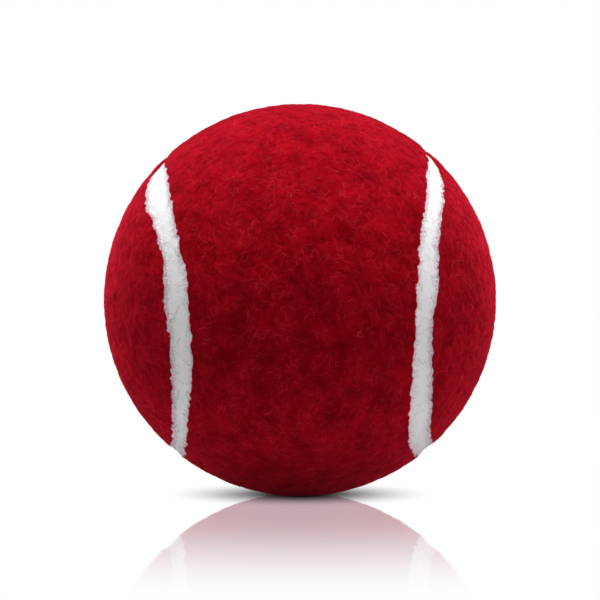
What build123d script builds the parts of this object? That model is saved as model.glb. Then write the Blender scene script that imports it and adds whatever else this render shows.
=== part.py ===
from build123d import *
import math
import os

# A tennis ball, built the way a real one is. Two moulded rubber cups are cemented rim to rim into a
# hollow core, two waisted felt panels are cemented over the core, and a bead of white cement fills the
# seam between the panels' edges.
# Millimetres and degrees. The origin is the ball's centre, +Z is up and -Y faces the viewer.

# The ball and the layers under its surface
BALL_DIAMETER = 67.0
FELT_THICKNESS = 3.2
PANEL_CEMENT_THICKNESS = 0.3
CORE_WALL = 3.2

# The joint between the two cups of the core
CUP_JOINT_THICKNESS = 0.4
CUP_JOINT_BEAD_RADIUS = 0.8

# The felt panels, measured over the ball's surface, and the seam between them
PANEL_WAIST = 37.5
PANEL_EDGE_ROUND = 0.6
SEAM_WIDTH = 4.4
SEAM_RECESS = 0.2
SEAM_PITCH = 26.5

# The surfaces that cut the panels: how far they run past the layers, and the spans in each arc's curve
CUT_OVERRUN = 1.0
ARC_SPANS = 10

ball_radius = BALL_DIAMETER / 2
felt_base_radius = ball_radius - FELT_THICKNESS
core_radius = felt_base_radius - PANEL_CEMENT_THICKNESS
bore_radius = core_radius - CORE_WALL
seam_top_radius = ball_radius - SEAM_RECESS

# The seam is four equal arcs on the ball, each tangent to the next a quarter turn on. Each goes round
# one end of a panel. In the seam's own axes the front panel's waist is at +Z and the rear panel's at -Z,
# the rear panel's ends are near +X and -X, and the front panel's are near +Y and -Y. These angles, in
# radians, follow from the waist and from the tangency.
seam_half_width = SEAM_WIDTH / 2 / ball_radius
seam_crest = math.pi / 2 - PANEL_WAIST / 2 / ball_radius - seam_half_width
arc_latitude = math.atan(1 / (math.sqrt(2) * math.sin(seam_crest)) - 1 / math.tan(seam_crest))
arc_radius = seam_crest - arc_latitude
arc_sweep = 2 * math.atan2(1, -math.sin(arc_latitude))

FRONT = 1
REAR = -1
QUARTERS = range(4)


def on_ball(longitude, latitude):
    """Unit vector from the ball's centre, in the seam's own axes."""
    level = math.cos(latitude)
    return Vector(level * math.cos(longitude), level * math.sin(longitude), math.sin(latitude))


def panel_of_end(quarter):
    """The panel whose end the seam goes round in this quarter."""
    return REAR if quarter % 2 == 0 else FRONT


def arc_centre(quarter):
    """Unit vector to the middle of the arc that the seam follows in this quarter."""
    return on_ball(quarter * math.pi / 2, -panel_of_end(quarter) * arc_latitude)


def panel_edge(quarter, side, radius):
    """Arc along one panel's edge in this quarter, on a sphere of this radius."""
    centre = arc_centre(quarter)
    start_of_arc = on_ball((quarter - 0.5) * math.pi / 2, 0)
    toward_start = (start_of_arc - centre * start_of_arc.dot(centre)).normalized()
    inside_end = 1 if side == panel_of_end(quarter) else -1
    spread = arc_radius - inside_end * seam_half_width
    start = centre * math.cos(spread) + toward_start * math.sin(spread)
    axis = Axis((0, 0, 0), centre * panel_of_end(quarter))
    steps = [math.degrees(arc_sweep) * step / ARC_SPANS for step in range(ARC_SPANS + 1)]
    points = [start.rotate(axis, turn) * radius for turn in steps]
    tangents = [axis.direction.cross(point) for point in (points[0], points[-1])]
    return Edge.make_spline(points, tangents=tangents)


def arc_wall(quarter, side):
    """Surface along one panel's edge in this quarter, square to the ball."""
    inner = panel_edge(quarter, side, core_radius - CUT_OVERRUN)
    outer = panel_edge(quarter, side, ball_radius + CUT_OVERRUN)
    return Face.make_surface_from_curves(inner, outer)


def panel_wall(side):
    """Closed surface all the way along one panel's edge, through every layer outside the core."""
    return Shell([arc_wall(quarter, side) for quarter in QUARTERS])


def layer(inner_radius, outer_radius, side):
    """Hollow sphere whose poles, and the meridian where its face closes, lie under the other panel."""
    ends = (1, 0, 0) if side == FRONT else (0, 1, 0)
    return Plane((0, 0, 0), x_dir=(0, 0, -side), z_dir=ends) * (Sphere(outer_radius) - Sphere(inner_radius))


def piece_at(solid, wall, direction, inner_radius, outer_radius):
    """Cuts a layer along a panel's edge and keeps the piece that lies in this direction."""
    inside = direction * ((inner_radius + outer_radius) / 2)
    pieces = ShapeList(solid.split(wall, keep=Keep.ALL)).solids()
    return next(piece for piece in pieces if piece.is_inside(inside))


def panel_piece(inner_radius, outer_radius, side):
    """The part of a layer that one panel covers."""
    solid = layer(inner_radius, outer_radius, side)
    return piece_at(solid, panel_wall(side), Vector(0, 0, side), inner_radius, outer_radius)


def in_place(piece):
    """Turns a piece from the seam's own axes to the way that the ball lies."""
    return piece.rotate(Axis.X, 90 + SEAM_PITCH)


def felt_panel(side):
    """Felt panel, with its outer edge rounded over where the nap thins out along the cut."""
    panel = panel_piece(felt_base_radius, ball_radius, side)
    outer_face = panel.faces().filter_by(GeomType.SPHERE).sort_by(SortBy.AREA)[-1]
    return in_place(panel.fillet(PANEL_EDGE_ROUND, outer_face.edges()))


def panel_cement(side):
    """Film of cement that holds one felt panel to the core."""
    return in_place(panel_piece(core_radius, felt_base_radius, side))


def seam_cement():
    """Bead of cement that runs once round the ball, between the two panels' edges."""
    bead = layer(core_radius, seam_top_radius, FRONT)
    for side in (FRONT, REAR):
        bead = piece_at(bead, panel_wall(side), on_ball(0, seam_crest), core_radius, seam_top_radius)
    return in_place(bead)


def core_cup(keep):
    """One moulded rubber cup, whose flat rim stops half a joint short of the ball's middle plane."""
    shell = Sphere(core_radius) - Sphere(bore_radius)
    joint = Cylinder(ball_radius, CUP_JOINT_THICKNESS)
    return (shell - joint).split(Plane.XY, keep=keep)


def core_joint_cement():
    """Cement between the cups' rims, with the bead squeezed out along the inside of the joint."""
    joint = Cylinder(ball_radius, CUP_JOINT_THICKNESS) & (Sphere(core_radius) - Sphere(bore_radius))
    bead = Torus(bore_radius, CUP_JOINT_BEAD_RADIUS) & Sphere(bore_radius)
    return joint + bead


parts = {
    "core_cup_upper": core_cup(Keep.TOP),
    "core_cup_lower": core_cup(Keep.BOTTOM),
    "core_joint_cement": core_joint_cement(),
    "panel_cement_front": panel_cement(FRONT),
    "panel_cement_rear": panel_cement(REAR),
    "felt_panel_front": felt_panel(FRONT),
    "felt_panel_rear": felt_panel(REAR),
    "seam_cement": seam_cement(),
}

os.makedirs("parts", exist_ok=True)
for node, part in parts.items():
    export_step(part, f"parts/{node}.step")
    print(node, f"{part.volume:.1f} mm3")
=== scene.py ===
import math
from collections import namedtuple

import bmesh
import bpy
import numpy as np
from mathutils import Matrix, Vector


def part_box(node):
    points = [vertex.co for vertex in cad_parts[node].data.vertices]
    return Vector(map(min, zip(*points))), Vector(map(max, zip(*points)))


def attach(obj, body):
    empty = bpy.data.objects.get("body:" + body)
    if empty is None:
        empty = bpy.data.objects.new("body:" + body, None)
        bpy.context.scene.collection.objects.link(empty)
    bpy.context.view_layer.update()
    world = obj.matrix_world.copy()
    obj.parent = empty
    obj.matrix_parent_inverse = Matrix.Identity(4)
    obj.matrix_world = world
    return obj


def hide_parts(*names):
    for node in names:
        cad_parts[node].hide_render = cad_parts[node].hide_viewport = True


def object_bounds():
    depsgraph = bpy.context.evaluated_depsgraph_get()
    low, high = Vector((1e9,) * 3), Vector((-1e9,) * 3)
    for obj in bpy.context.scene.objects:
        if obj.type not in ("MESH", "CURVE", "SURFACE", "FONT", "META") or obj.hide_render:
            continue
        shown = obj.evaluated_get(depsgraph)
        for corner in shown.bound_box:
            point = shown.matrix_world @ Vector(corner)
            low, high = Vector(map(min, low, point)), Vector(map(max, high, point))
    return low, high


# A tennis ball with deep red felt and a white seam. Each felt panel is a matted surface under thousands
# of fibres, and the seam is a bead of cement with uneven edges between them. Metres and radians.

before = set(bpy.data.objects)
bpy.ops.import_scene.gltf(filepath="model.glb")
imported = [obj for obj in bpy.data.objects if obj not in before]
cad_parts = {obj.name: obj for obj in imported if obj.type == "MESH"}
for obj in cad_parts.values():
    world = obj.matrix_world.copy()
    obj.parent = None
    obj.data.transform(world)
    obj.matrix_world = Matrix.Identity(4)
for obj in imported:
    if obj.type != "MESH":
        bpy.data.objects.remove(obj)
cad_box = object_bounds()
MM = 0.001
FRONT = 1
REAR = -1
rng = np.random.default_rng(7)

# The seam's course, as in the part: two waisted panels with a seam between them, turned to how the ball lies.
# It is followed in so many steps a quarter, and directions are compared with it in blocks.
PANEL_WAIST = 37.5 * MM
SEAM_WIDTH = 4.4 * MM
SEAM_PITCH = math.radians(26.5)
SEAM_STEPS = 720
BLOCK_SIZE = 4000

# Where the seam in the photograph leaves that even course: place along the seam in quarters, then how far
# the front and the rear panel's edges lie from its middle line, in mm
SEAM_EDGES = [
    (0.22, 1.7, 2.0), (0.30, 2.0, 2.0), (0.34, 2.5, 2.1), (0.41, 2.2, 2.8), (0.50, 1.6, 2.9),
    (0.57, 1.5, 2.6), (0.60, 1.2, 2.4), (0.66, 1.6, 2.3), (0.69, 1.6, 3.1), (0.76, 1.8, 2.5),
    (0.80, 2.1, 2.0), (0.89, 2.0, 1.8), (0.94, 2.6, 1.5), (0.98, 3.1, 0.9), (1.02, 3.3, 0.1),
    (1.06, 3.3, -0.4), (1.10, 3.1, -0.5), (1.15, 2.9, 0.0), (1.20, 2.6, 0.8), (1.27, 2.4, 1.6),
    (1.35, 2.3, 1.9), (1.65, 2.2, 2.2), (1.75, 2.1, 2.3), (1.82, 1.7, 1.9), (1.87, 1.4, 1.4),
    (1.91, 1.3, 1.3), (1.94, 1.4, 1.6), (1.96, 1.7, 2.3), (1.98, 2.0, 3.0), (2.04, 1.7, 4.1),
    (2.08, 1.5, 4.2), (2.12, 1.5, 3.1), (2.16, 1.5, 3.0), (2.22, 1.8, 2.0), (2.25, 2.1, 2.0),
    (2.28, 2.9, 2.2), (2.32, 2.4, 2.8), (2.38, 2.6, 2.3), (2.41, 2.5, 2.0), (2.47, 2.5, 2.1),
    (2.54, 1.7, 1.9), (2.60, 1.5, 1.9), (2.68, 1.4, 1.5), (2.75, 1.7, 1.3),
]
EDGE_SMOOTHING = 2.5 * MM
# Where the seam lies deeper between the panels, as it goes over the top: place, and how much deeper in mm
SEAM_SUNK = [
    (0.99, 0), (1.05, 0.2), (1.10, 0.3), (1.22, 0.3), (1.32, 0),
    (1.74, 0), (1.82, 0.3), (1.90, 0.25), (1.95, 0),
]
# The rest of the seam isn't shown, and its edges wander at random: place, and the share of that wandering
SEAM_UNSHOWN = [(0, 0.5), (0.2, 0), (2.8, 0), (3.0, 1), (3.8, 1)]
LOOSE_WANDER = 0.35 * MM
# Random waves: the longest, the shortest and how many. The scallops have two kinds, each with its share.
WANDER_WAVES = (40 * MM, 8 * MM, 12)
SCALLOP_DEPTH = 0.16 * MM
SCALLOPS = [((3 * MM, 1.2 * MM, 24), 0.5), ((7 * MM, 3 * MM, 16), 0.6)]

# How closely the waves of a random field follow each other, against its stated wavelength
WAVE_SPREAD = (0.7, 1.4)

# The felt: how far its matted ground lies under the ball's surface, how uneven that is, and what makes it so
NAP_DEPTH = 0.08 * MM
UNEVENNESS = 0.10 * MM
RELIEF_WAVES = 24
HILL_WIDTH = 4 * MM
HILL_SHARE = 0.2
GRIT_WIDTH = 1.3 * MM
GRIT_SHARE = 0.15
PIT_WIDTH = 2.2 * MM
PIT_SHARE = 0.6
PIT_BRIM = 0.3
OUTER_DIVISIONS = 8
INNER_DIVISIONS = 6

# Texture maps: how far round the ball a panel's map reaches, along and across it, the parts of the map that
# its outer face and the hidden rest take, and the margins round a map, a strip of seam and a fibre
PANEL_REACH = (math.radians(284), math.radians(90))
OUTER_PART = (0.35, 0.99)
HIDDEN_PART = (0.01, 0.31)
MAP_MARGIN = 0.01
STRIP_MARGIN = 0.05
FIBRE_MARGIN = 0.08

# The wool on a felt panel, by shade: colour, number of fibres, how many to a wisp, their length and
# thickness, how far they curl and arch, their rings, and how they gather in patches (above nought) or keep
# out of them
Wool = namedtuple("Wool", "colour count wisp length thickness curl arch rings patchiness")
WOOLS = {
    "dark": Wool((0.190, 0.001, 0.003), 4500, 4, 1.7 * MM, 0.11 * MM, 2.2, 0.07 * MM, 4, -1.8),
    "deep": Wool((0.215, 0.001, 0.004), 7500, 3, 1.8 * MM, 0.10 * MM, 2.4, 0.09 * MM, 4, -0.8),
    "red": Wool((0.268, 0.001, 0.005), 8000, 4, 2.0 * MM, 0.13 * MM, 2.6, 0.07 * MM, 4, 0.0),
    "bright": Wool((0.342, 0.006, 0.014), 8000, 3, 2.0 * MM, 0.085 * MM, 2.6, 0.10 * MM, 4, 0.8),
    "rose": Wool((0.45, 0.014, 0.027), 6000, 2, 1.7 * MM, 0.053 * MM, 2.3, 0.12 * MM, 4, 0.9),
    "pink": Wool((0.60, 0.06, 0.09), 90, 1, 1.5 * MM, 0.040 * MM, 2.2, 0.20 * MM, 6, 0.8),
}
# How its fibres lie: the swirls that they follow, and how far they stray from these and from their wisps
SWIRL_WIDTH = 5 * MM
SWIRL_WAVES = 20
NAP_LEAN = 1.1
WISP_SPREAD = 0.12 * MM
# The patches that they gather in, and how little the wool thins out between these
SMALL_PATCH_WIDTH = 4.2 * MM
SMALL_PATCH_SHARE = 0.75
LARGE_PATCH_WIDTH = 8.5 * MM
LARGE_PATCH_SHARE = 0.65
NAP_FULLNESS = 1
# How far over the seam their roots may lie, how far they are pressed down at most, over what length they are
# tucked in at the seam, and how many places on the whole ball are tried for each root on a panel
NAP_OVERHANG = 0.15 * MM
NAP_PRESSED = 0.05 * MM
TUCK_LENGTH = 0.45 * MM
TRIES_A_ROOT = 2.5

# How fibres differ: their lengths, thicknesses and arches as shares, their wobble and their tilt
FIBRE_LENGTHS = (0.6, 1.4)
FIBRE_THICKNESSES = (0.7, 1.3)
FIBRE_ARCHES = (0.2, 1.0)
FIBRE_WOBBLE = 0.35
FIBRE_TILT = 0.25
# The fibres of the felt and of the seam's fringe: their height against their width, and how far their shading
# follows their own roundness instead of the ball's
NAP_SHAPE = (0.25, 0.3)
FRINGE_SHAPE = (0.5, 1.8)

# The seam cement: how its face lies under the ball's surface in the middle and at its edges, how wide the
# raised rims along its edges are, and how uneven it is
SEAM_DEPTH = 0.36 * MM
SEAM_EDGE_DEPTH = 0.27 * MM
SEAM_RIM = 1.2 * MM
SEAM_UNEVENNESS = 0.008 * MM
HUMP_WIDTH = 2.5 * MM
DIMPLE_WIDTH = 1.0 * MM
DIMPLE_SHARE = 0.6
RIM_GRAIN = 0.02 * MM
RIM_GRAIN_WIDTH = 0.6 * MM
SEAM_COLUMNS = 30
SEAM_STRIPS = 6

# The wool ends along the seam's rims, by shade: colour, number to the mm, and how far from the edge they lie,
# outward at most and inward on average. There are none where the seam lies deeper than a limit.
Fringe = namedtuple("Fringe", "colour per_mm outset reach")
FRINGES = {
    "white": Fringe((0.95, 0.93, 0.94), 20.0, 0.05 * MM, 0.35 * MM),
    "pink": Fringe((0.95, 0.60, 0.70), 14.0, 0.12 * MM, 0.20 * MM),
    "lilac": Fringe((0.84, 0.60, 0.80), 7.0, 0.12 * MM, 0.22 * MM),
}
FRINGE_SUNK_LIMIT = 0.1 * MM
FRINGE_LENGTH = 0.42 * MM
FRINGE_THICKNESS = 0.11 * MM
FRINGE_CURL = 0.9
FRINGE_ARCH = 0.14 * MM
FRINGE_RINGS = 2
FRINGE_LEAN = 0.7
FRINGE_HEAP = 0.05 * MM
FRINGE_SHEEN = (1.0, 0.95, 0.97)

# The dark hairs on the seam, by kind: number, length, and how far out from its middle they start, as a share
Hairs = namedtuple("Hairs", "count length least_share")
HAIRS = {"long": Hairs(80, 2.8 * MM, 0.0), "short": Hairs(320, 0.9 * MM, 0.4)}
HAIR_MOST_SHARE = 0.85
HAIR_COLOUR = (0.10, 0.06, 0.08)
HAIR_SHEEN = (1, 1, 1)
HAIR_THICKNESS = 0.038 * MM
HAIR_CURL = 1.2
HAIR_ARCH = 0.05 * MM
HAIR_RINGS = 8
HAIR_CLEARANCE = 0.02 * MM

# The mottling of the wool: its patches to the metre, how much darker and lighter they are, and the places of
# the dark, middle and light colours in the noise
MOTTLE_SCALE = 250
MOTTLE = 0.26
FRINGE_MOTTLE = 0.08
MOTTLE_STOPS = (0.32, 0.50, 0.68)
PALEST = 0.95
GROUND_COLOURS = ((0.165, 0.001, 0.004), (0.240, 0.002, 0.006), (0.305, 0.003, 0.008))
GROUND_SHEEN = (1.0, 0.03, 0.07)
WOOL_SHEEN = (1.0, 0.035, 0.075)
SHEEN_ROUGHNESS = 0.4

# The other colours: places in a noise, with the colour at each
SEAM_FACE = [(0.30, (0.745, 0.755, 0.76)), (0.52, (0.80, 0.785, 0.795)), (0.72, (0.835, 0.80, 0.815))]
# Along the rims: pink and lilac wool, with a grain whose white and dark specks paint highlights on wool loops
# and the shade between them
SEAM_RIM_PINK_AND_GLINTS = [(0.42, (0.72, 0.46, 0.59)), (0.50, (0.92, 0.81, 0.86)), (0.57, (0.98, 0.97, 0.98))]
RUBBER_BLACK = [(0.3, (0.035, 0.035, 0.038)), (0.7, (0.062, 0.062, 0.066))]
CEMENT_AMBER = [(0.3, (0.46, 0.32, 0.15)), (0.7, (0.60, 0.45, 0.24))]
SEAM_FACE_SCALE = 320
SEAM_RIMS_SCALE = 2200
NOISE_ROUGHNESS = 0.6

# The fine relief of the surfaces: its grains to the metre, their height, and how strongly it shows
Relief = namedtuple("Relief", "scale height strength")
FELT_FUZZ = Relief(4200, 0.12 * MM, 0.7)
SEAM_GRAIN = Relief(2600, 0.08 * MM, 0.9)
RUBBER_GRAIN = Relief(300, 0.1 * MM, 0.4)
CEMENT_GRAIN = Relief(260, 0.06 * MM, 0.4)

# The floor: its reach and gloss, what it throws back on the ball, and how far from the ball that, its shadow
# and its reflection fade out. The shadow is stretched sideways and lies a little behind the ball's foot.
FLOOR_REACH = 2.0
FLOOR_IOR = 1.5
FLOOR_ROUGHNESS = 0.03
FLOOR_BOUNCE = 0.58
FLOOR_BOUNCE_FAR = 0.08
BOUNCE_FADE = (30 * MM, 130 * MM)
SHADOW_GREY = 0.5
SHADOW_FADE = (3.5 * MM, 24 * MM)
SHADOW_STRETCH = 1.45
SHADOW_SHIFT = 0.6 * MM
REFLECTION_FADE = (28 * MM, 113 * MM)
REFLECTION_TINT = (0.97, 1.28, 1.21)

# The soft light all round: its levels in front of the ball, at its sides and behind it, which way counts as
# behind, and where between -1 in front and 1 behind the dimmest light ends
SOFT_LIGHT_FRONT = 0.09
SOFT_LIGHT_SIDES = 1.92
SOFT_LIGHT_BACK = 0.35
SOFT_LIGHT_AXIS = (0.2, 0.97, 0)
SOFT_LIGHT_DIMMEST = -0.75

# The lamp overhead
LAMP_PLACE = (0.0, -0.05, 0.9)
LAMP_SIZE = 0.8
LAMP_POWER = 10.5

# The camera and the photograph's frame, in pixels
IMAGE_SIZE = 600
BALL_PIXELS = 196.3
CAMERA_DISTANCE_IN_RADII = 16.0
CAMERA_ELEVATION = math.radians(4.0)
SENSOR_WIDTH = 36.0
NEAREST_SEEN = 0.01
FURTHEST_SEEN = 20

ball_radius = (cad_box[1].x - cad_box[0].x) / 2
felt_base_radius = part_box("panel_cement_front")[1].x
ground_radius = ball_radius - NAP_DEPTH
floor_height = cad_box[0].z

# Angles of the four equal arcs that make up the seam
seam_half_width = SEAM_WIDTH / 2 / ball_radius
seam_crest = math.pi / 2 - PANEL_WAIST / 2 / ball_radius - seam_half_width
arc_latitude = math.atan(1 / (math.sqrt(2) * math.sin(seam_crest)) - 1 / math.tan(seam_crest))
arc_radius = seam_crest - arc_latitude
arc_sweep = 2 * math.atan2(1, -math.sin(arc_latitude))

# Rotation from the seam's own axes to how the ball lies
lie_turn = math.pi / 2 + SEAM_PITCH
lie_cosine = math.cos(lie_turn)
lie_sine = math.sin(lie_turn)
lie_rotation = np.array([[1, 0, 0], [0, lie_cosine, -lie_sine], [0, lie_sine, lie_cosine]])


# Course of the seam

def unit(vectors):
    """Vectors of the same directions and a length of one."""
    return vectors / np.linalg.norm(vectors, axis=-1, keepdims=True)


def on_ball(longitude, latitude):
    """Unit vector to a place on the ball, in the seam's own axes."""
    level = math.cos(latitude)
    return np.array([level * math.cos(longitude), level * math.sin(longitude), math.sin(latitude)])


def seam_arc(quarter):
    """One arc of the seam: unit vectors along it, and unit vectors across it towards the front panel."""
    end = REAR if quarter % 2 == 0 else FRONT
    centre = on_ball(quarter * math.pi / 2, -end * arc_latitude)
    toward_start = on_ball((quarter - 0.5) * math.pi / 2, 0)
    toward_start = unit(toward_start - centre * toward_start.dot(centre))
    sideways = np.cross(centre * end, toward_start)
    turn = (np.arange(SEAM_STEPS) / SEAM_STEPS * arc_sweep)[:, None]
    outward = np.cos(turn) * toward_start + np.sin(turn) * sideways
    line = math.cos(arc_radius) * centre + math.sin(arc_radius) * outward
    across = end * (math.sin(arc_radius) * centre - math.cos(arc_radius) * outward)
    return line, across


arcs = [seam_arc(quarter) for quarter in range(4)]
seam_line = np.concatenate([line for line, across in arcs]) @ lie_rotation.T
seam_across = np.concatenate([across for line, across in arcs]) @ lie_rotation.T
seam_places = np.arange(len(seam_line)) / SEAM_STEPS
seam_length = 4 * arc_sweep * math.sin(arc_radius) * ball_radius
seam_step = seam_length / len(seam_line)


def along_seam(stations):
    """Values at every step of the seam, from stations of a place and a value."""
    return np.interp(seam_places, *np.transpose(stations), period=4)


def ripple(longest, shortest, count):
    """Random waves round the closed seam with a mean square of one, of wavelengths between two lengths."""
    turns = rng.integers(round(seam_length / longest), round(seam_length / shortest), count)
    phases = rng.uniform(0, 2 * math.pi, count)
    angles = seam_places[:, None] * math.pi / 2 * turns + phases
    return np.cos(angles).sum(1) * math.sqrt(2 / count)


def edge_offsets(side):
    """How far a panel's edge lies from the middle of the seam at each place along it."""
    shown = along_seam([(place, front if side == FRONT else rear) for place, front, rear in SEAM_EDGES]) * MM
    unshown = along_seam(SEAM_UNSHOWN)
    wander = SEAM_WIDTH / 2 + LOOSE_WANDER * ripple(*WANDER_WAVES)
    offsets = shown * (1 - unshown) + wander * unshown
    smoothing = np.hanning(round(EDGE_SMOOTHING / seam_step) * 2 + 1)
    three_rounds = np.convolve(np.tile(offsets, 3), smoothing / smoothing.sum(), "same")
    scallops = sum(share * ripple(*waves) for waves, share in SCALLOPS)
    return three_rounds[len(offsets):2 * len(offsets)] + SCALLOP_DEPTH * scallops


panel_edges = {side: edge_offsets(side) for side in (FRONT, REAR)}
seam_sunk = along_seam(SEAM_SUNK) * MM


def depth_in_panel(directions, side):
    """How far inside a panel's edge each unit vector lies, measured over the ball's surface."""
    blocks = np.array_split(directions, len(directions) // BLOCK_SIZE + 1)
    nearest = np.concatenate([(block @ seam_line.T).argmax(1) for block in blocks])
    from_middle = np.arcsin(np.clip((directions * seam_across[nearest]).sum(1), -1, 1)) * ball_radius
    return side * from_middle - panel_edges[side][nearest]


# Mesh helpers

def random_field(wavelength, count=40):
    """Function of points in space that varies smoothly at random, with a mean square of one."""
    directions = unit(rng.normal(size=(count, 3)))
    waves = directions * (2 * math.pi / wavelength * rng.uniform(*WAVE_SPREAD, count))[:, None]
    phases = rng.uniform(0, 2 * math.pi, count)
    return lambda points: np.cos(points @ waves.T + phases).sum(1) * math.sqrt(2 / count)


def round_ball(divisions):
    """Even triangle mesh of a ball of radius one."""
    ball = bmesh.new()
    bmesh.ops.create_icosphere(ball, subdivisions=divisions, radius=1)
    points = np.array([vertex.co for vertex in ball.verts])
    triangles = np.array([[vertex.index for vertex in face.verts] for face in ball.faces])
    ball.free()
    return unit(points), triangles


def trimmed(points, triangles, depth):
    """Keeps the part of a triangle mesh where the depth is positive, cut along its edge."""
    inside = depth > 0
    corners_in = inside[triangles].sum(1)
    one_in = triangles[corners_in == 1]
    two_in = triangles[corners_in == 2]
    one_in = np.take_along_axis(one_in, (inside[one_in].argmax(1)[:, None] + np.arange(3)) % 3, 1)
    two_in = np.take_along_axis(two_in, (inside[two_in].argmin(1)[:, None] + np.arange(3)) % 3, 1)
    cuts = np.concatenate([one_in[:, [0, 1]], one_in[:, [0, 2]], two_in[:, [0, 1]], two_in[:, [0, 2]]])
    edges, cut_of = np.unique(np.sort(cuts, 1), axis=0, return_inverse=True)
    cut_of = cut_of.reshape(-1) + len(points)
    share = (depth[edges[:, 0]] / (depth[edges[:, 0]] - depth[edges[:, 1]]))[:, None]
    cut_points = unit(points[edges[:, 0]] * (1 - share) + points[edges[:, 1]] * share)
    cut_ends = np.cumsum([len(one_in), len(one_in), len(two_in)])
    one_next, one_last, two_next, two_last = np.split(cut_of, cut_ends)
    kept = np.concatenate([
        triangles[corners_in == 3],
        np.stack([one_in[:, 0], one_next, one_last], 1),
        np.stack([two_in[:, 1], two_in[:, 2], two_last], 1),
        np.stack([two_in[:, 1], two_last, two_next], 1),
    ])
    used, kept = np.unique(kept, return_inverse=True)
    return np.concatenate([points, cut_points])[used], kept.reshape(-1, 3)


def mesh_object(name, points, faces, material):
    """Smooth mesh object that rides on the ball."""
    mesh = bpy.data.meshes.new(name)
    mesh.from_pydata(points, [], faces)
    mesh.shade_smooth()
    mesh.materials.append(material)
    piece = bpy.data.objects.new(name, mesh)
    bpy.context.scene.collection.objects.link(piece)
    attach(piece, "root")
    return piece


def add_map(piece, places):
    """Texture map of a piece, from the places of its faces' corners on a flat sheet."""
    layer = piece.data.uv_layers.new(name="OFBake")
    layer.data.foreach_set("uv", np.asarray(places, float).ravel())


def inside_margin(places, margin):
    """Places from 0 to 1, drawn in from both ends by a margin."""
    return margin + (1 - 2 * margin) * places


# Materials

def material_nodes(name):
    """New material, and its principled shader."""
    material = bpy.data.materials.new(name)
    material.use_nodes = True
    return material, material.node_tree.nodes["Principled BSDF"]


def grey(level):
    """Grey of one level."""
    return (level, level, level)


def noise_texture(material, scale, detail=4.0):
    """Noise in the ball's own space, of so many patches to the metre."""
    nodes, links = material.node_tree.nodes, material.node_tree.links
    coordinates = nodes.new("ShaderNodeTexCoord")
    texture = nodes.new("ShaderNodeTexNoise")
    texture.inputs["Scale"].default_value = scale
    texture.inputs["Detail"].default_value = detail
    texture.inputs["Roughness"].default_value = NOISE_ROUGHNESS
    links.new(coordinates.outputs["Object"], texture.inputs["Vector"])
    return texture


def add_ramp(material, texture, stops, socket):
    """Turns a texture into colours by a ramp, and leads them to a socket."""
    nodes, links = material.node_tree.nodes, material.node_tree.links
    ramp = nodes.new("ShaderNodeValToRGB")
    elements = ramp.color_ramp.elements
    for element, (place, colour) in zip(elements, (stops[0], stops[-1])):
        element.position = place
        element.color = (*colour, 1)
    for place, colour in stops[1:-1]:
        elements.new(place).color = (*colour, 1)
    links.new(texture.outputs["Fac"], ramp.inputs["Fac"])
    links.new(ramp.outputs["Color"], socket)


def add_relief(material, shader, relief):
    """Fine relief in the shading, and the noise that makes it."""
    nodes, links = material.node_tree.nodes, material.node_tree.links
    texture = noise_texture(material, relief.scale)
    bump = nodes.new("ShaderNodeBump")
    bump.inputs["Distance"].default_value = relief.height
    bump.inputs["Strength"].default_value = relief.strength
    links.new(texture.outputs["Fac"], bump.inputs["Height"])
    links.new(bump.outputs["Normal"], shader.inputs["Normal"])
    return texture


def set_sheen(shader, weight, tint):
    """Soft light that wool throws back at a low angle."""
    shader.inputs["Sheen Weight"].default_value = weight
    shader.inputs["Sheen Roughness"].default_value = SHEEN_ROUGHNESS
    shader.inputs["Sheen Tint"].default_value = (*tint, 1)


def felt_ground_material():
    """Matted wool under the fibres: mottled red with fine relief."""
    material, shader = material_nodes("felt_ground")
    mottle = noise_texture(material, MOTTLE_SCALE)
    add_ramp(material, mottle, list(zip(MOTTLE_STOPS, GROUND_COLOURS)), shader.inputs["Base Color"])
    fuzz = add_relief(material, shader, FELT_FUZZ)
    add_ramp(material, fuzz, [(0.3, grey(0.82)), (0.7, grey(1.0))], shader.inputs["Roughness"])
    set_sheen(shader, 0.9, GROUND_SHEEN)
    shader.inputs["Specular IOR Level"].default_value = 0.0
    return material


def fibre_material(name, colour, mottle=MOTTLE, sheen_tint=WOOL_SHEEN):
    """One shade of wool, darker and lighter in the same patches as the other shades."""
    material, shader = material_nodes(name)
    darker = tuple((1 - mottle) * value for value in colour)
    lighter = tuple(min((1 + mottle) * value, PALEST) for value in colour)
    stops = list(zip(MOTTLE_STOPS, (darker, colour, lighter)))
    add_ramp(material, noise_texture(material, MOTTLE_SCALE), stops, shader.inputs["Base Color"])
    shader.inputs["Roughness"].default_value = 0.8
    shader.inputs["Specular IOR Level"].default_value = 0.0
    set_sheen(shader, 1.0, sheen_tint)
    return material


def seam_material():
    """Dried white cement, faintly mottled in the middle, and tinged with pink along its rims, where a grain
    of lighter and darker specks paints the highlights of wool loops and the shade between them.
    """
    material, shader = material_nodes("seam_cement_white")
    nodes, links = material.node_tree.nodes, material.node_tree.links
    place = nodes.new("ShaderNodeAttribute")
    place.attribute_name = "rim"
    colour = nodes.new("ShaderNodeMix")
    colour.data_type = "RGBA"
    links.new(place.outputs["Fac"], colour.inputs["Factor"])
    add_ramp(material, noise_texture(material, SEAM_FACE_SCALE), SEAM_FACE, colour.inputs["A"])
    # The rims' pink tinge, with painted highlights and painted shade of wool loops in its grain
    add_ramp(material, noise_texture(material, SEAM_RIMS_SCALE, detail=2.0), SEAM_RIM_PINK_AND_GLINTS, colour.inputs["B"])
    links.new(colour.outputs["Result"], shader.inputs["Base Color"])
    grain = add_relief(material, shader, SEAM_GRAIN)
    add_ramp(material, grain, [(0.3, grey(0.55)), (0.7, grey(0.75))], shader.inputs["Roughness"])
    shader.inputs["Specular IOR Level"].default_value = 0.05
    return material


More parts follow.
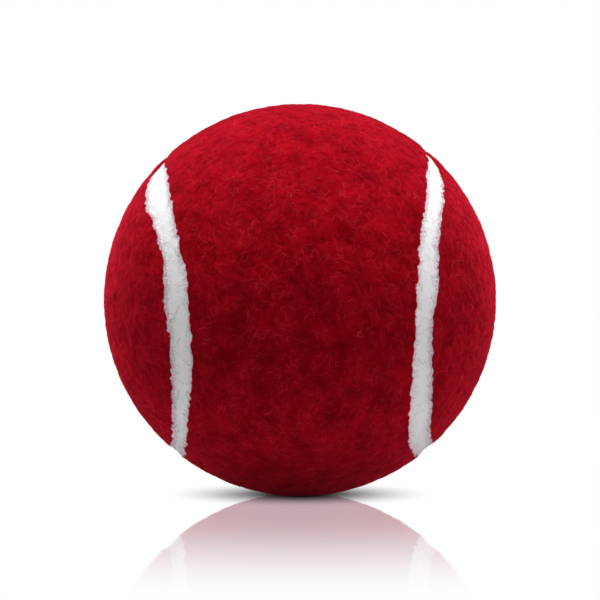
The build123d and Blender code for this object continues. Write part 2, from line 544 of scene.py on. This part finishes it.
def rubber_material():
    """Moulded black rubber of the core."""
    material, shader = material_nodes("core_rubber_black")
    grain = add_relief(material, shader, RUBBER_GRAIN)
    add_ramp(material, grain, RUBBER_BLACK, shader.inputs["Base Color"])
    shader.inputs["Roughness"].default_value = 0.7
    return material


def cement_material():
    """Dried film of amber rubber cement."""
    material, shader = material_nodes("rubber_cement_amber")
    grain = add_relief(material, shader, CEMENT_GRAIN)
    add_ramp(material, grain, CEMENT_AMBER, shader.inputs["Base Color"])
    shader.inputs["Roughness"].default_value = 0.45
    return material


# Felt panels

ball_points, ball_triangles = round_ball(OUTER_DIVISIONS)
coarse_points, coarse_triangles = round_ball(INNER_DIVISIONS)
hills = random_field(HILL_WIDTH, RELIEF_WAVES)
hollows = random_field(PIT_WIDTH, RELIEF_WAVES)
grit = random_field(GRIT_WIDTH, RELIEF_WAVES)


def felt_face(directions):
    """Distance of the matted felt from the ball's centre: uneven and pitted."""
    at = directions * ball_radius
    pits = np.clip(hollows(at) - PIT_BRIM, 0, None)
    return ground_radius + UNEVENNESS * (HILL_SHARE * hills(at) + GRIT_SHARE * grit(at) - PIT_SHARE * pits)


def panel_map(directions, side):
    """Places on a flat map of a panel, from 0 to 1: along the panel and across it."""
    x, y, z = np.transpose(directions @ lie_rotation)
    along, over, up = (y, x, z) if side == FRONT else (x, y, -z)
    return np.arctan2(along, up) / PANEL_REACH[0] + 0.5, np.arcsin(over) / PANEL_REACH[1] + 0.5


def add_panel_map(piece, side):
    """Texture map of a panel: its outer face over the top of the sheet, and the hidden rest below."""
    mesh = piece.data
    points = np.array([vertex.co for vertex in mesh.vertices])
    along, across = panel_map(unit(points), side)
    starts = np.array([polygon.loop_start for polygon in mesh.polygons])
    totals = np.array([polygon.loop_total for polygon in mesh.polygons])
    corners = np.array([loop.vertex_index for loop in mesh.loops])
    outer_point = np.linalg.norm(points, axis=1) > (felt_base_radius + ball_radius) / 2
    outer_face = np.minimum.reduceat(outer_point[corners], starts)
    outer_corner = np.repeat(outer_face, totals)
    low = np.where(outer_corner, OUTER_PART[0], HIDDEN_PART[0])
    high = np.where(outer_corner, OUTER_PART[1], HIDDEN_PART[1])
    up = low + (high - low) * across[corners]
    add_map(piece, np.stack([inside_margin(along[corners], MAP_MARGIN), up], 1))


def felt_ground(side, material):
    """A felt panel as a closed sheet: matted outer face, cut edge and inner face."""
    name = "felt_front" if side == FRONT else "felt_rear"
    outer, outer_faces = trimmed(ball_points, ball_triangles, depth_in_panel(ball_points, side))
    inner, inner_faces = trimmed(coarse_points, coarse_triangles, depth_in_panel(coarse_points, side))
    points = np.concatenate([outer * felt_face(outer)[:, None], inner * felt_base_radius])
    faces = np.concatenate([outer_faces, inner_faces[:, ::-1] + len(outer)])
    sheet = bmesh.new()
    corners = [sheet.verts.new(point) for point in points]
    for face in faces:
        sheet.faces.new([corners[corner] for corner in face])
    bmesh.ops.bridge_loops(sheet, edges=[edge for edge in sheet.edges if edge.is_boundary])
    bmesh.ops.triangulate(sheet, faces=[face for face in sheet.faces if len(face.verts) > 3])
    bmesh.ops.recalc_face_normals(sheet, faces=sheet.faces)
    piece = mesh_object(name, [], [], material)
    sheet.to_mesh(piece.data)
    sheet.free()
    piece.data.shade_smooth()
    add_panel_map(piece, side)
    return piece


# Fibres

lie_fields = [random_field(SWIRL_WIDTH, SWIRL_WAVES) for axis in range(3)]
small_patches = random_field(SMALL_PATCH_WIDTH)
large_patches = random_field(LARGE_PATCH_WIDTH)


def scattered(count, side, edge_reach):
    """About so many random unit vectors, spread evenly over one panel and a distance past its edge, and how
    far inside its edge they lie."""
    directions = unit(rng.normal(size=(int(TRIES_A_ROOT * count), 3)))
    depth = depth_in_panel(directions, side)
    kept = depth > -edge_reach
    return directions[kept], depth[kept]


def along_surface(vectors, roots):
    """Unit vectors along the ball's surface at the roots, nearest to given vectors."""
    return unit(vectors - roots * (vectors * roots).sum(1, keepdims=True))


def swirl(roots):
    """Directions along the ball's surface that turn slowly from place to place, as matted wool lies."""
    field = np.stack([lie_field(roots * ball_radius) for lie_field in lie_fields], 1)
    return along_surface(field, roots)


def leaned(headings, roots, lean):
    """Headings along the ball's surface, turned by an angle each."""
    return np.cos(lean) * headings + np.sin(lean) * np.cross(roots, headings)


def fibre_lines(roots, length, curl, arch, rings, facing, wisp=1):
    """Curled fibres that lie on the ball, the fibres of a wisp curled alike: directions to their points, and
    how far those stand off its face."""
    count = len(roots)
    steps = np.linspace(0, 1, rings + 2)
    north = np.cross(roots, facing)
    bend = np.repeat(rng.normal(0, curl, count // wisp), wisp)[:, None]
    wobble = np.repeat(rng.normal(0, FIBRE_WOBBLE, count // wisp), wisp)[:, None]
    phase = np.repeat(rng.uniform(0, 1, count // wisp), wisp)[:, None]
    heading = bend * (steps - 0.5) + wobble * np.sin(2 * math.pi * (steps + phase))
    run = length * rng.uniform(*FIBRE_LENGTHS, count)[:, None] / (len(steps) - 1)
    along_facing = np.cumsum(np.cos(heading) * run, 1)
    along_north = np.cumsum(np.sin(heading) * run, 1)
    along_facing -= along_facing.mean(1, keepdims=True)
    along_north -= along_north.mean(1, keepdims=True)
    spread = along_facing[..., None] * facing[:, None] + along_north[..., None] * north[:, None]
    directions = unit(roots[:, None] + spread / ball_radius)
    humps = arch * rng.uniform(*FIBRE_ARCHES, count)[:, None] * np.sin(math.pi * steps)
    tilt = arch * rng.normal(0, FIBRE_TILT, count)[:, None] * (steps - 0.5)
    return directions, humps + tilt


def fibres(name, material, directions, radius, thickness, shape):
    """Tapered three-sided tubes along curled lines, with soft normals that mostly follow the ball."""
    height, roundness = shape
    line = directions * radius[..., None]
    count = len(line)
    rings = line.shape[1] - 2
    forward = unit(np.gradient(line, axis=1))
    side = unit(np.cross(forward, directions))
    over = np.cross(side, forward)
    angles = np.arange(3) * 2 * math.pi / 3
    upward = np.cos(angles)[:, None] * over[:, 1:-1, None] * height
    around = upward + np.sin(angles)[:, None] * side[:, 1:-1, None]
    half_thickness = thickness / 2 * rng.uniform(*FIBRE_THICKNESSES, count)[:, None, None, None]
    ring_points = (line[:, 1:-1, None] + around * half_thickness).reshape(count, rings * 3, 3)
    ring_normals = unit(directions[:, 1:-1, None] + around * roundness).reshape(count, rings * 3, 3)
    points = np.concatenate([line[:, :1], ring_points, line[:, -1:]], 1)
    normals = np.concatenate([directions[:, :1], ring_normals, directions[:, -1:]], 1)
    faces, places = tube_faces(rings)
    first_points = np.arange(count)[:, None, None] * points.shape[1]
    piece = mesh_object(name, points.reshape(-1, 3), (faces + first_points).reshape(-1, 3), material)
    piece.data.normals_split_custom_set_from_vertices(normals.reshape(-1, 3))
    cells = math.ceil(math.sqrt(count))
    cell = np.stack(np.divmod(np.arange(count), cells), 1)[:, None, None]
    add_map(piece, (cell + inside_margin(places, FIBRE_MARGIN)) / cells)
    return piece


def tube_faces(rings):
    """Triangles of a three-sided tube with pointed ends, and their places on a flat map, along and round."""
    last = rings * 3 + 1
    step = 1 / (rings + 1)
    faces, places = [], []
    for corner in range(3):
        following = (corner + 1) % 3
        left, middle, right = corner / 3, (corner + 0.5) / 3, (corner + 1) / 3
        faces.append((0, 1 + following, 1 + corner))
        places.append([(0, middle), (step, right), (step, left)])
        faces.append((last, last - 3 + corner, last - 3 + following))
        places.append([(1, middle), (1 - step, left), (1 - step, right)])
        for ring in range(rings - 1):
            near, far = 1 + ring * 3, 4 + ring * 3
            here, there = (ring + 1) * step, (ring + 2) * step
            faces.append((near + corner, far + following, far + corner))
            places.append([(here, left), (there, right), (there, left)])
            faces.append((near + corner, near + following, far + following))
            places.append([(here, left), (here, right), (there, right)])
    return np.array(faces), np.array(places)


def nap(name, side, material, wool):
    """One shade of the fibres that lie over a felt panel in wisps, in patches or kept out of them."""
    roots, depth = scattered(wool.count // wool.wisp, side, NAP_OVERHANG)
    at = roots * ball_radius
    patches = SMALL_PATCH_SHARE * small_patches(at) + LARGE_PATCH_SHARE * large_patches(at)
    kept = wool.patchiness * patches > rng.normal(0, 1, len(roots)) - NAP_FULLNESS
    lean = np.repeat(rng.normal(0, NAP_LEAN, kept.sum()), wool.wisp)[:, None]
    depth = np.repeat(depth[kept], wool.wisp)
    roots = np.repeat(roots[kept], wool.wisp, 0)
    roots = unit(roots + WISP_SPREAD / ball_radius * rng.normal(size=roots.shape))
    facing = leaned(swirl(roots), roots, lean)
    directions, rise = fibre_lines(roots, wool.length, wool.curl, wool.arch, wool.rings, facing, wool.wisp)
    points = directions.reshape(-1, 3)
    depths = np.repeat(depth, wool.rings + 2)
    by_edge = depths < wool.length
    depths[by_edge] = depth_in_panel(points[by_edge], side)
    tucked = SEAM_DEPTH * np.clip(-depths / TUCK_LENGTH, 0, 1)
    radius = (felt_face(points) - tucked).reshape(rise.shape) + rise
    radius -= NAP_PRESSED * rng.uniform(0, 1, len(roots))[:, None]
    return fibres(name, material, directions, radius, wool.thickness, NAP_SHAPE)


# Seam

def rim_share(from_edge):
    """One at the seam's edges, and nought further in than its rims."""
    share = np.clip(1 - from_edge / SEAM_RIM, 0, 1)
    return share * share * (3 - 2 * share)


def seam_top(place, from_edge):
    """Distance of the seam's face from the ball's centre: hollow in the middle and raised along its edges."""
    raised = (SEAM_DEPTH - SEAM_EDGE_DEPTH) * rim_share(from_edge)
    return ball_radius - SEAM_DEPTH + np.maximum(raised - seam_sunk[place], 0) - seam_sunk[place]


def seam_half_widths(place):
    """Half of the seam's width at steps along it."""
    return (panel_edges[FRONT][place] + panel_edges[REAR][place]) / 2


def across_seam(place, share):
    """Directions to places across the seam, from -1 at the rear panel's edge to 1 at the front panel's."""
    middle = (panel_edges[FRONT][place] - panel_edges[REAR][place]) / 2
    angle = ((middle + share * seam_half_widths(place)) / ball_radius)[..., None]
    return np.cos(angle) * seam_line[place] + np.sin(angle) * seam_across[place]


def seam_bead(material):
    """Bead of cement between the panels' edges, all the way round the ball."""
    rows = np.arange(0, len(seam_line), 2)
    place, share = np.meshgrid(rows, np.linspace(-1, 1, SEAM_COLUMNS), indexing="ij")
    directions = across_seam(place, share)
    at = (directions * ball_radius).reshape(-1, 3)
    from_edge = seam_half_widths(place) * (1 - np.abs(share))
    rim = rim_share(from_edge)
    uneven = random_field(HUMP_WIDTH)(at) + DIMPLE_SHARE * random_field(DIMPLE_WIDTH)(at)
    grain = random_field(RIM_GRAIN_WIDTH)(at)
    relief = SEAM_UNEVENNESS * uneven.reshape(share.shape) + RIM_GRAIN * rim * grain.reshape(share.shape)
    top_points = directions * (seam_top(place, from_edge) + relief)[..., None]
    foot_points = directions[:, [SEAM_COLUMNS - 1, SEAM_COLUMNS // 2, 0]] * felt_base_radius
    loop = np.concatenate([top_points, foot_points], 1)
    size = loop.shape[1]
    grid = np.arange(len(rows) * size).reshape(len(rows), size)
    onward = np.roll(grid, -1, 0)
    faces = np.stack([grid, np.roll(grid, -1, 1), np.roll(onward, -1, 1), onward], -1).reshape(-1, 4)
    piece = mesh_object("seam", loop.reshape(-1, 3), faces, material)
    rim = np.concatenate([rim, np.ones((len(rows), 3))], 1)
    piece.data.attributes.new("rim", "FLOAT", "POINT").data.foreach_set("value", rim.ravel())
    row, column = np.divmod(np.arange(len(faces))[:, None], size)
    strip, step = np.divmod(row, len(rows) // SEAM_STRIPS)
    along = inside_margin((step + [0, 0, 1, 1]) / (len(rows) // SEAM_STRIPS), MAP_MARGIN)
    up = (strip + inside_margin((column + [0, 1, 1, 0]) / size, STRIP_MARGIN)) / SEAM_STRIPS
    add_map(piece, np.stack([along, up], -1))
    return piece


def seam_fringe(name, side, material, fringe):
    """Short wool ends, wet with cement, that lie along one rim of the seam and over the panel's edge."""
    place = rng.integers(0, len(seam_line), round(seam_length / MM * fringe.per_mm))
    place = place[seam_sunk[place] < FRINGE_SUNK_LIMIT]
    count = len(place)
    inset = np.minimum(rng.exponential(fringe.reach, count) - fringe.outset, seam_half_widths(place))
    roots = across_seam(place, side * (1 - inset / seam_half_widths(place)))
    outward = side * along_surface(seam_across[place], roots)
    facing = leaned(outward, roots, rng.normal(0, FRINGE_LEAN, count)[:, None])
    base = seam_top(place, inset) + FRINGE_HEAP * rng.uniform(0, 1, count)
    directions, rise = fibre_lines(roots, FRINGE_LENGTH, FRINGE_CURL, FRINGE_ARCH, FRINGE_RINGS, facing)
    radius = base[:, None] + rise
    return fibres(name, material, directions, radius, FRINGE_THICKNESS, FRINGE_SHAPE)


def seam_hairs(name, material, hairs):
    """Dark wool hairs caught on the face of the seam."""
    place = rng.integers(0, len(seam_line), hairs.count)
    share = rng.uniform(hairs.least_share, HAIR_MOST_SHARE, hairs.count) * rng.choice([-1, 1], hairs.count)
    roots = across_seam(place, share)
    base = seam_top(place, seam_half_widths(place) * (1 - np.abs(share))) + HAIR_CLEARANCE
    directions, rise = fibre_lines(roots, hairs.length, HAIR_CURL, HAIR_ARCH, HAIR_RINGS, swirl(roots))
    return fibres(name, material, directions, base[:, None] + rise, HAIR_THICKNESS, NAP_SHAPE)


# Build the ball

felt_material = felt_ground_material()
wool_materials = {shade: fibre_material(f"wool_{shade}", wool.colour) for shade, wool in WOOLS.items()}

felt = {side: felt_ground(side, felt_material) for side in (FRONT, REAR)}
seam = seam_bead(seam_material())
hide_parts("felt_panel_front")
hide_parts("felt_panel_rear")
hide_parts("seam_cement")

for shade, fringe in FRINGES.items():
    material = fibre_material(f"fringe_{shade}", fringe.colour, FRINGE_MOTTLE, FRINGE_SHEEN)
    seam_fringe(f"fringe_front_{shade}", FRONT, material, fringe)
    seam_fringe(f"fringe_rear_{shade}", REAR, material, fringe)
dark_hair = fibre_material("hair_dark", HAIR_COLOUR, FRINGE_MOTTLE, HAIR_SHEEN)
for kind, hairs in HAIRS.items():
    seam_hairs(f"seam_hairs_{kind}", dark_hair, hairs)

naps = {FRONT: [], REAR: []}
for side, word in ((FRONT, "front"), (REAR, "rear")):
    for layer, (shade, wool) in enumerate(WOOLS.items()):
        naps[side].append(nap(f"nap_{word}_{layer}_{shade}", side, wool_materials[shade], wool))

rubber = rubber_material()
cement = cement_material()
for node, material in (
    ("core_cup_upper", rubber),
    ("core_cup_lower", rubber),
    ("core_joint_cement", cement),
    ("panel_cement_front", cement),
    ("panel_cement_rear", cement),
):
    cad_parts[node].data.materials.clear()
    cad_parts[node].data.materials.append(material)


# Stage

def distance_fade(material, near, far, stretch=1.0, shift=0.0):
    """One close to where the ball stands, or a shift behind it, and nought further off to the sides than the
    far distance. In front and behind, distances count more by the stretch."""
    nodes, links = material.node_tree.nodes, material.node_tree.links
    position = nodes.new("ShaderNodeNewGeometry")
    stretched = nodes.new("ShaderNodeVectorMath")
    stretched.operation = "MULTIPLY"
    stretched.inputs[1].default_value = (1, stretch, 1)
    links.new(position.outputs["Position"], stretched.inputs[0])
    apart = nodes.new("ShaderNodeVectorMath")
    apart.operation = "DISTANCE"
    apart.inputs[1].default_value = (0, shift * stretch, floor_height)
    links.new(stretched.outputs["Vector"], apart.inputs[0])
    fade = nodes.new("ShaderNodeMapRange")
    fade.interpolation_type = "SMOOTHSTEP"
    fade.inputs["From Min"].default_value = near
    fade.inputs["From Max"].default_value = far
    fade.inputs["To Min"].default_value = 1
    fade.inputs["To Max"].default_value = 0
    links.new(apart.outputs["Value"], fade.inputs["Value"])
    return fade.outputs["Result"]


def mix_colours(material, share, first, second):
    """Colour between two, by a share that comes from another node."""
    mix = material.node_tree.nodes.new("ShaderNodeMix")
    mix.data_type = "RGBA"
    mix.inputs["A"].default_value = (*first, 1)
    mix.inputs["B"].default_value = (*second, 1)
    material.node_tree.links.new(share, mix.inputs["Factor"])
    return mix.outputs["Result"]


def mix_shaders(material, share, first, second):
    """Surface between two, by a share that comes from another node."""
    mix = material.node_tree.nodes.new("ShaderNodeMixShader")
    material.node_tree.links.new(share, mix.inputs["Fac"])
    material.node_tree.links.new(first, mix.inputs[1])
    material.node_tree.links.new(second, mix.inputs[2])
    return mix.outputs["Shader"]


def white_gloss(material):
    """White surface with a reflection that fades out, and as much less white of its own where it mirrors."""
    nodes, links = material.node_tree.nodes, material.node_tree.links
    fresnel = nodes.new("ShaderNodeFresnel")
    fresnel.inputs["IOR"].default_value = FLOOR_IOR
    share = nodes.new("ShaderNodeMath")
    share.operation = "MULTIPLY"
    links.new(fresnel.outputs["Fac"], share.inputs[0])
    links.new(distance_fade(material, *REFLECTION_FADE), share.inputs[1])
    mirrored = mix_colours(material, share.outputs["Value"], grey(0), REFLECTION_TINT)
    gloss = nodes.new("ShaderNodeBsdfGlossy")
    gloss.inputs["Roughness"].default_value = FLOOR_ROUGHNESS
    links.new(mirrored, gloss.inputs["Color"])
    unmirrored = nodes.new("ShaderNodeInvert")
    links.new(mirrored, unmirrored.inputs["Color"])
    white = nodes.new("ShaderNodeEmission")
    links.new(unmirrored.outputs["Color"], white.inputs["Color"])
    both = nodes.new("ShaderNodeAddShader")
    links.new(white.outputs["Emission"], both.inputs[0])
    links.new(gloss.outputs["BSDF"], both.inputs[1])
    return both.outputs["Shader"]


def floor_material():
    """Pale glossy floor that the camera sees as white, with the ball's shadow and faint reflection."""
    material, shader = material_nodes("floor_white")
    nodes, links = material.node_tree.nodes, material.node_tree.links
    nodes.remove(shader)
    shaded = nodes.new("ShaderNodeBsdfDiffuse")
    shaded.inputs["Color"].default_value = (*grey(SHADOW_GREY), 1)
    close = distance_fade(material, *BOUNCE_FADE)
    bounce = mix_colours(material, close, grey(FLOOR_BOUNCE_FAR), grey(FLOOR_BOUNCE))
    bounced = nodes.new("ShaderNodeBsdfDiffuse")
    links.new(bounce, bounced.inputs["Color"])
    shadow = distance_fade(material, *SHADOW_FADE, SHADOW_STRETCH, SHADOW_SHIFT)
    seen = mix_shaders(material, shadow, white_gloss(material), shaded.outputs["BSDF"])
    path = nodes.new("ShaderNodeLightPath")
    surface = mix_shaders(material, path.outputs["Is Camera Ray"], bounced.outputs["BSDF"], seen)
    links.new(surface, nodes["Material Output"].inputs["Surface"])
    return material


def floor():
    """Square floor under the ball."""
    directions = ((-1, -1), (1, -1), (1, 1), (-1, 1))
    corners = [(x * FLOOR_REACH, y * FLOOR_REACH, floor_height) for x, y in directions]
    mesh = bpy.data.meshes.new("floor")
    mesh.from_pydata(corners, [], [(0, 1, 2, 3)])
    mesh.materials.append(floor_material())
    piece = bpy.data.objects.new("floor", mesh)
    bpy.context.scene.collection.objects.link(piece)


def soft_light():
    """Light from all round, brightest from the sides, and white where the camera or a reflection sees it."""
    surroundings = bpy.data.worlds.new("surroundings")
    surroundings.use_nodes = True
    nodes, links = surroundings.node_tree.nodes, surroundings.node_tree.links
    direction = nodes.new("ShaderNodeTexCoord")
    backward = nodes.new("ShaderNodeVectorMath")
    backward.operation = "DOT_PRODUCT"
    backward.inputs[1].default_value = SOFT_LIGHT_AXIS
    links.new(direction.outputs["Generated"], backward.inputs[0])
    light = nodes.new("ShaderNodeMath")
    light.operation = "MINIMUM"
    rise = (SOFT_LIGHT_DIMMEST, 0, SOFT_LIGHT_FRONT, SOFT_LIGHT_SIDES)
    fall = (0, 1, SOFT_LIGHT_SIDES, SOFT_LIGHT_BACK)
    for slope, (start, end, first, last) in enumerate((rise, fall)):
        change = nodes.new("ShaderNodeMapRange")
        change.inputs["From Min"].default_value = start
        change.inputs["From Max"].default_value = end
        change.inputs["To Min"].default_value = first
        change.inputs["To Max"].default_value = last
        links.new(backward.outputs["Value"], change.inputs["Value"])
        links.new(change.outputs["Result"], light.inputs[slope])
    path = nodes.new("ShaderNodeLightPath")
    seen = nodes.new("ShaderNodeMath")
    seen.operation = "MAXIMUM"
    links.new(path.outputs["Is Camera Ray"], seen.inputs[0])
    links.new(path.outputs["Is Glossy Ray"], seen.inputs[1])
    level = nodes.new("ShaderNodeMix")
    level.inputs["B"].default_value = 1.0
    links.new(light.outputs["Value"], level.inputs["A"])
    links.new(seen.outputs["Value"], level.inputs["Factor"])
    links.new(level.outputs["Result"], nodes["Background"].inputs["Strength"])
    nodes["Background"].inputs["Color"].default_value = (1, 1, 1, 1)
    bpy.context.scene.world = surroundings


def lamp_overhead():
    """Large soft lamp over the ball, turned towards it."""
    lamp = bpy.data.lights.new("lamp_top", "AREA")
    lamp.shape = "SQUARE"
    lamp.size = LAMP_SIZE
    lamp.energy = LAMP_POWER
    lamp_object = bpy.data.objects.new("lamp_top", lamp)
    lamp_object.location = LAMP_PLACE
    lamp_object.rotation_euler = (-Vector(LAMP_PLACE)).to_track_quat("-Z", "Y").to_euler()
    bpy.context.scene.collection.objects.link(lamp_object)


def camera():
    """Camera a little above the ball's middle, with the ball as large in the frame as in the photograph."""
    view = bpy.data.cameras.new("camera")
    view.sensor_width = SENSOR_WIDTH
    focal_pixels = BALL_PIXELS * math.sqrt(CAMERA_DISTANCE_IN_RADII ** 2 - 1)
    view.lens = focal_pixels / IMAGE_SIZE * SENSOR_WIDTH
    view.clip_start = NEAREST_SEEN
    view.clip_end = FURTHEST_SEEN
    camera_object = bpy.data.objects.new("camera", view)
    back = Vector((0, -math.cos(CAMERA_ELEVATION), math.sin(CAMERA_ELEVATION)))
    camera_object.location = back * CAMERA_DISTANCE_IN_RADII * ball_radius
    camera_object.rotation_euler = (-back).to_track_quat("-Z", "Y").to_euler()
    bpy.context.scene.collection.objects.link(camera_object)
    bpy.context.scene.camera = camera_object


floor()
soft_light()
lamp_overhead()
camera()
bpy.context.scene.view_settings.view_transform = "Standard"
